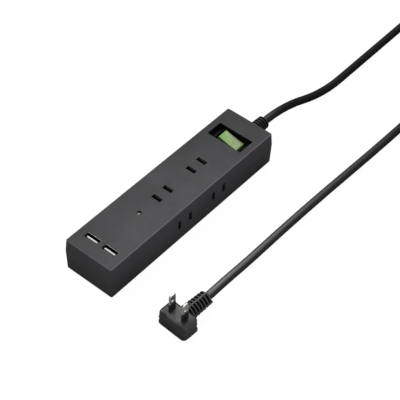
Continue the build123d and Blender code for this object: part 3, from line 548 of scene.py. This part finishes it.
def plug_finish():
    """Satin black vinyl, duller towards the foot, with painted light and shade: darker towards the foot, lighter
    on its right side, and painted highlights on the face between the blades and along its edges.
    """
    s = Shader("plug_vinyl")
    colour = (0.019, 0.0185, 0.019)
    place = s.axes()
    tone = s.mix(s.lumps(90.0), shade(colour, 0.85), shade(colour, 1.15))
    # Painted shade: darker towards the foot.
    tone = s.mix(s.ramp(place["Z"], *PLUG_FOOT_Z, 0.0, 0.25), tone, shade(colour, 0.3))
    # Painted light: the plug's right side lighter.
    right = s.ramp(place["X"], PLUG.x + PLUG_RIGHT[0], PLUG.x + PLUG_RIGHT[1], 0.0, 0.6)
    tone = s.mix(right, tone, shade(colour, 3.0))
    # Painted highlight on the face between the blades.
    face_highlight = s.inside(PLUG + FACE_HIGHLIGHT_LOW, PLUG + FACE_HIGHLIGHT_HIGH, soft=2.0)
    tone = s.mix(s.times(face_highlight, s.lumps(300.0, 0.5, 1.0)), tone, (0.26, 0.25, 0.25))
    # Painted highlight along the plug's edges.
    tone = s.mix(s.times(s.edges(0.35), 0.7), tone, shade(colour, 3.2))
    shine = s.ramp(place["Z"], *PLUG_SHINE_Z, 0.42, 0.62)
    normal = s.grain(1 / (0.4 * MM), 0.02)
    return s.principled(
        Base_Color=tone, Roughness=s.handled(0.34, 0.48), Specular_IOR_Level=shine, Normal=normal
    )


# ---------------------------------------------------------------- every CAD node gets its slot's finish
FINISHES = {
    "case_plastic": case_finish(),
    "switch_plastic": switch_finish(),
    "rocker_green": rocker_finish(),
    "soft_black": collared("soft_black", (0.065, 0.065, 0.066)),
    "cord_vinyl": cord_finish(),
    "plug_vinyl": plug_finish(),
    # The sleeves get a painted highlight along their edges.
    "sleeve_black": moulded("sleeve_black", (0.006, 0.006, 0.006), 0.38, rim=0.3),
    "contact_metal": metal("contact_metal", (0.74, 0.73, 0.70), 0.24, brush=(1.0, 1.0, 0.12)),
    "brass": metal("brass", (0.72, 0.50, 0.20), 0.30, brush=(1.0, 0.15, 1.0)),
    "bright_steel": shell_finish(),
    "zinc_steel": metal("zinc_steel", (0.58, 0.59, 0.61), 0.34),
    "white_plastic": moulded("white_plastic", (0.72, 0.72, 0.70), 0.42, spread=0.05),
    "clear_plastic": pipe_finish(),
    "lamp_glass": clear("lamp_glass", (0.80, 0.95, 0.80)),
    "insulator": moulded("insulator", (0.62, 0.58, 0.46), 0.50, spread=0.10),
    "circuit_board": board_finish(),
    "ferrite": moulded("ferrite", (0.045, 0.043, 0.042), 0.62, grain=0.15, depth=0.03, spread=0.25),
    "yellow_tape": tape_finish(),
    "can_aluminium": metal("can_aluminium", (0.66, 0.67, 0.70), 0.28, brush=(1.0, 1.0, 0.1)),
    "varistor_coat": moulded("varistor_coat", (0.02, 0.07, 0.30), 0.22, grain=1.2, depth=0.05),
    "component": banded("component", (0.62, 0.50, 0.32), (0.25, 0.08, 0.03), 90.0, 0.4),
    "chip_black": moulded("chip_black", (0.012, 0.012, 0.013), 0.55, grain=0.1),
    "wire_black": moulded("wire_black", (0.012, 0.012, 0.012), 0.30, grain=0.8, depth=0.03),
    "wire_white": moulded("wire_white", (0.70, 0.70, 0.66), 0.32, grain=0.8, depth=0.03, spread=0.06),
    "wire_red": moulded("wire_red", (0.50, 0.02, 0.015), 0.32, grain=0.8, depth=0.03),
}


def dress(obj, slot, finish=None):
    """obj takes its slot's finish, or another one in its place."""
    obj.data.materials.clear()
    obj.data.materials.append(finish or FINISHES[slot])


for row in frame["record"]["subparts"]:
    dress(NODES[row["node"]], row["material_slot"])


# ---------------------------------------------------------------- meshes from rings of points
def ring_mesh(name, rings, place, hollow, sharp):
    """A closed mesh from rings of points in millimetres, moved to the row frame by place.
    A hollow one joins its last ring to its first, and a solid one caps both."""
    count = len(rings[0])
    faces = []
    for ring in range(len(rings) if hollow else len(rings) - 1):
        this, following = ring * count, (ring + 1) % len(rings) * count
        for step in range(count):
            other = (step + 1) % count
            faces.append((this + step, following + step, following + other, this + other))
    if not hollow:
        last = (len(rings) - 1) * count
        faces.append(range(count))
        faces.append(range(last + count - 1, last - 1, -1))
    mesh = bpy.data.meshes.new(name)
    mesh.from_pydata([Vector(point) * MM for ring in rings for point in ring], [], faces)
    mesh.transform(place)
    mesh.shade_smooth()
    mesh.set_sharp_from_angle(angle=math.radians(sharp))
    obj = bpy.data.objects.new(name, mesh)
    SCENE.collection.objects.link(obj)
    return obj


# ---------------------------------------------------------------- ribbed sleeves, in millimetres
BORE_R = 3.45
COLLARS = 7
COLLARS_START = 0.05
AROUND = 72
SPINE_HALF_ANGLE = math.radians(7)
COLLAR_RISE = ((0.23, 0.0), (0.30, 0.1), (0.33, 0.75), (0.365, 0.96), (0.42, 1.0))
COLLAR_PROFILE = (  # share of a collar's pitch, share of its height
    (0.0, 0.0),
    *COLLAR_RISE,
    *((1 - phase, height) for phase, height in reversed(COLLAR_RISE)),
)


def tapered(pair, share):
    return pair[0] + (pair[1] - pair[0]) * share


def sleeve(name, place, inner, root, tip, core_r, collar_r, root_r, spine_r=0.0):
    """A tapering sleeve along +Y: a plain root from inner, collars from root to tip, four spines if asked.
    Its crest attribute is 1 on collars and spines, 0 in the grooves."""
    stations = [(inner, root_r, root_r, 0.0), (root, root_r, root_r, 0.0)]
    pitch = (tip - root) / COLLARS
    for collar in range(COLLARS):
        for phase, height in COLLAR_PROFILE:
            along = root + COLLARS_START + (collar + phase) * pitch
            share = (along - root) / (tip - root)
            stations.append((along, tapered(core_r, share), tapered(collar_r, share), height))
    stations.append((tip, core_r[1], collar_r[1], 0.0))

    rings, crests = [], []
    turns = [2 * math.pi * step / AROUND for step in range(AROUND)]
    for along, core, top, height in stations:
        ring = []
        for angle in turns:
            off_spine = abs((angle + math.pi / 4) % (math.pi / 2) - math.pi / 4)
            spine = 1.0 if spine_r and off_spine < SPINE_HALF_ANGLE and along > root else 0.0
            radius = max(core + (top - core) * height, spine_r * spine)
            ring.append((radius * math.cos(angle), along, radius * math.sin(angle)))
            crests.append(max(height, spine))
        rings.append(ring)
    bore = [(BORE_R * math.cos(angle), BORE_R * math.sin(angle)) for angle in turns]
    for along in (tip, inner):
        rings.append([(x, along, z) for x, z in bore])
        crests += [0.0] * AROUND

    obj = ring_mesh(name, rings, place, hollow=True, sharp=45)
    crest = obj.data.attributes.new("crest", "FLOAT", "POINT")
    crest.data.foreach_set("value", crests)
    return obj


def cord_strain_relief():
    """The case's flexible sleeve, with its root between the shells."""
    place = Matrix.Translation(Vector((0, CASE_HALF_L, middle("cord_boot").z)) * MM)
    obj = sleeve(
        "cord_strain_relief",
        place,
        inner=-3.4,
        root=0.2,
        tip=19.0,
        core_r=(4.8, 4.3),
        collar_r=(6.4, 5.7),
        root_r=4.94,
    )
    dress(obj, "soft_black", collared("soft_black_case_end", (0.020, 0.020, 0.021)))
    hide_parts("cord_boot")
    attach(obj, "housing")


# The plug's own frame has its origin on the floor under the blades, and +Y runs back along the cord.
PLUG_YAW = math.radians(-3.0)
PLUG_PLACE = Matrix.Translation(Vector((PLUG.x, PLUG.y, 0)) * MM) @ Matrix.Rotation(PLUG_YAW, 4, "Z")
PLUG_SLEEVE = (8.9, 30.5)  # root and tip along +Y


def plug_strain_relief():
    """The plug's flexible sleeve, between the cord and the plug."""
    axis = PLUG_PLACE @ Matrix.Translation((0, 0, joint("plug_bend").z * MM))
    root, tip = PLUG_SLEEVE
    obj = sleeve(
        "plug_strain_relief",
        axis,
        inner=root - 0.6,
        root=root,
        tip=tip,
        core_r=(5.0, 4.4),
        collar_r=(6.85, 6.1),
        root_r=5.5,
        spine_r=6.35,
    )
    dress(obj, "soft_black")
    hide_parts("plug_boot")
    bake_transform(obj)


# ---------------------------------------------------------------- the plug's body, in millimetres
BODY_HALF = (13.9, 8.35)
BODY_MIDDLE = Vector((-0.4, 0.35, 0))
BODY_CORNER = 3.6
CORNER_STEPS = 10
SIDE_STEPS = 9
LIP_TOP = 1.7
PINCH = 0.75
PINCH_HEIGHT = 10.5
PINCH_FADE = 5.0
BODY_PROFILE = (  # height, inset from the outline
    (0.00, 1.30),
    (0.12, 0.60),
    (0.40, 0.20),
    (0.90, 0.00),
    (1.50, 0.00),
    (1.75, 0.12),
    (1.95, 0.38),
    (3.00, 0.42),
    (4.50, 0.46),
    (5.90, 0.48),
    (6.10, 0.30),
    (6.25, 0.10),
    (6.55, 0.10),
    (6.70, 0.30),
    (6.90, 0.48),
    (8.50, 0.46),
    (10.0, 0.46),
    (11.3, 0.50),
    (12.2, 0.66),
    (12.9, 0.95),
    (13.4, 1.35),
    (13.8, 1.95),
    (14.05, 2.80),
    (14.18, 3.40),
    (14.20, 4.00),
    (14.20, 7.00),
)


def rounded_outline(half_x, half_y, radius):
    """Points round a rounded rectangle, anticlockwise from the rear end of its right side."""
    arcs = []
    for quarter, (side_x, side_y) in enumerate(((1, 1), (-1, 1), (-1, -1), (1, -1))):
        centre = Vector((side_x * (half_x - radius), side_y * (half_y - radius)))
        angles = [math.pi / 2 * (quarter + step / CORNER_STEPS) for step in range(CORNER_STEPS + 1)]
        arcs.append([centre + radius * Vector((math.cos(angle), math.sin(angle))) for angle in angles])
    points = []
    for arc, following in zip(arcs, arcs[1:] + arcs[:1]):
        points += arc + [arc[-1].lerp(following[0], step / SIDE_STEPS) for step in range(1, SIDE_STEPS)]
    return points


def pinched(x, y, height):
    """x moved in where fingers hold the sides, most at mid height and fading out forwards."""
    reach = min(1.0, max(0.0, (height - LIP_TOP) / PINCH_HEIGHT))
    rearward = min(1.0, max(0.0, y / PINCH_FADE + 1))
    side = min(1.0, abs(x) / BODY_HALF[0]) ** 6
    return x - math.copysign(PINCH * math.sin(math.pi * reach) ** 2 * rearward * side, x)


def plug_shell():
    """Plug body with a lip at its foot, a parting ridge, pinched sides and a softly rounded face."""
    rings = []
    for height, inset in reversed(BODY_PROFILE):
        radius = max(BODY_CORNER - 0.5 * inset, 0.4)
        outline = rounded_outline(BODY_HALF[0] - inset, BODY_HALF[1] - inset, radius)
        pinched_outline = [Vector((pinched(x, y, height), y, height)) for x, y in outline]
        rings.append([point + BODY_MIDDLE for point in pinched_outline])
    obj = ring_mesh("plug_shell", rings, PLUG_PLACE, hollow=False, sharp=60)
    dress(obj, "plug_vinyl")
    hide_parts("plug_body")
    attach(obj, "plug")


cord_strain_relief()
plug_strain_relief()
plug_shell()


# ---------------------------------------------------------------- stage, in metres
FLOOR_HALF = 12.0
FLOOR_DROP = 0.0002
FLOOR_GLOW = 1.06
SHADOW_SHARE = 0.10


def floor():
    """A pale floor: near white to the camera, with a faint contact shadow, and greyer to bounced light."""
    mesh = bpy.data.meshes.new("floor")
    square = [(-1, -1), (1, -1), (1, 1), (-1, 1)]
    corner_points = [(x * FLOOR_HALF, y * FLOOR_HALF, -FLOOR_DROP) for x, y in square]
    mesh.from_pydata(corner_points, [], [(0, 1, 2, 3)])
    obj = bpy.data.objects.new("floor", mesh)
    SCENE.collection.objects.link(obj)
    s = Shader("floor_white")
    speck = s.noise(60.0, 4.0)
    paper = s.add("ShaderNodeBsdfDiffuse")
    s.put(paper.inputs["Color"], s.mix(speck, (0.78, 0.78, 0.78), (0.82, 0.82, 0.82)))
    bounce = s.add("ShaderNodeBsdfDiffuse")
    s.put(bounce.inputs["Color"], s.mix(speck, (0.30, 0.30, 0.30), (0.34, 0.34, 0.34)))
    glow = s.add("ShaderNodeEmission")
    s.put(glow.inputs["Color"], (1.0, 1.0, 1.0))
    s.put(glow.inputs["Strength"], FLOOR_GLOW)
    seen = s.add("ShaderNodeMixShader")
    s.put(seen.inputs[0], SHADOW_SHARE)
    s.join(glow.outputs[0], seen.inputs[1])
    s.join(paper.outputs[0], seen.inputs[2])
    chosen = s.add("ShaderNodeMixShader")
    s.join(s.add("ShaderNodeLightPath").outputs["Is Camera Ray"], chosen.inputs[0])
    s.join(bounce.outputs[0], chosen.inputs[1])
    s.join(seen.outputs[0], chosen.inputs[2])
    mesh.materials.append(s.finish(chosen))


SKY_GREYS = ((0.0, 0.42), (0.35, 0.62), (0.75, 0.9), (1.0, 1.1))  # height, brightness
SKY_STRENGTH = 0.55


def sky():
    """White to the camera; to everything else, bright overhead and dim near the horizon."""
    world = bpy.data.worlds.new("studio")
    SCENE.world = world
    world.use_nodes = True
    tree = world.node_tree
    tree.nodes.clear()
    add, join = tree.nodes.new, tree.links.new
    ramp = add("ShaderNodeValToRGB")
    stops = ramp.color_ramp.elements
    for position, _ in SKY_GREYS[1:-1]:
        stops.new(position)
    for stop, (_, grey) in zip(stops, SKY_GREYS):
        stop.color = (grey, grey, grey, 1)
    split = add("ShaderNodeSeparateXYZ")
    join(add("ShaderNodeTexCoord").outputs["Generated"], split.inputs[0])
    join(split.outputs["Z"], ramp.inputs[0])
    light = add("ShaderNodeBackground")
    join(ramp.outputs[0], light.inputs["Color"])
    light.inputs["Strength"].default_value = SKY_STRENGTH
    plain = add("ShaderNodeBackground")
    plain.inputs["Color"].default_value = (1, 1, 1, 1)
    chosen = add("ShaderNodeMixShader")
    join(add("ShaderNodeLightPath").outputs["Is Camera Ray"], chosen.inputs[0])
    join(light.outputs[0], chosen.inputs[1])
    join(plain.outputs[0], chosen.inputs[2])
    join(chosen.outputs[0], add("ShaderNodeOutputWorld").inputs[0])


def panel(name, size, direction, distance, power):
    """A soft rectangular lamp that faces the case from the given direction."""
    lamp = bpy.data.lights.new(name, "AREA")
    lamp.shape = "RECTANGLE"
    lamp.size, lamp.size_y = size
    lamp.energy = power
    obj = bpy.data.objects.new(name, lamp)
    SCENE.collection.objects.link(obj)
    away = Vector(direction).normalized()
    obj.location = away * distance
    obj.rotation_euler = away.to_track_quat("Z", "Y").to_euler()
    obj.visible_camera = False


EYE = (0.4521, -0.5339, 0.7684)
EYE_BACK = Vector((0.4236, -0.5322, 0.7330))  # from the case to the camera
EYE_RIGHT = Vector((0.7645, 0.6441, 0.0258))  # towards the right of the picture
LENS_MM = 118.6
SENSOR_MM = 36.0


def camera():
    """A long lens that looks down along the case from its front right, turned a little about its own axis."""
    data = bpy.data.cameras.new("camera")
    data.sensor_width = SENSOR_MM
    data.lens = LENS_MM
    data.clip_start = 0.01
    obj = bpy.data.objects.new("camera", data)
    SCENE.collection.objects.link(obj)
    turn = Matrix((EYE_RIGHT, EYE_BACK.cross(EYE_RIGHT), EYE_BACK)).transposed().to_4x4()
    obj.matrix_world = Matrix.Translation(EYE) @ turn
    SCENE.camera = obj


floor()
sky()
camera()
panel("back_panel", size=(1.6, 1.0), direction=(-0.42, 0.53, 0.73), distance=1.6, power=8.6)
panel("right_fill", size=(0.8, 1.6), direction=(0.95, -0.10, 0.22), distance=1.5, power=5.4)
panel("left_strip", size=(0.3, 1.4), direction=(-0.95, -0.1, 0.55), distance=1.4, power=9.0)
SCENE.view_settings.view_transform = "Standard"
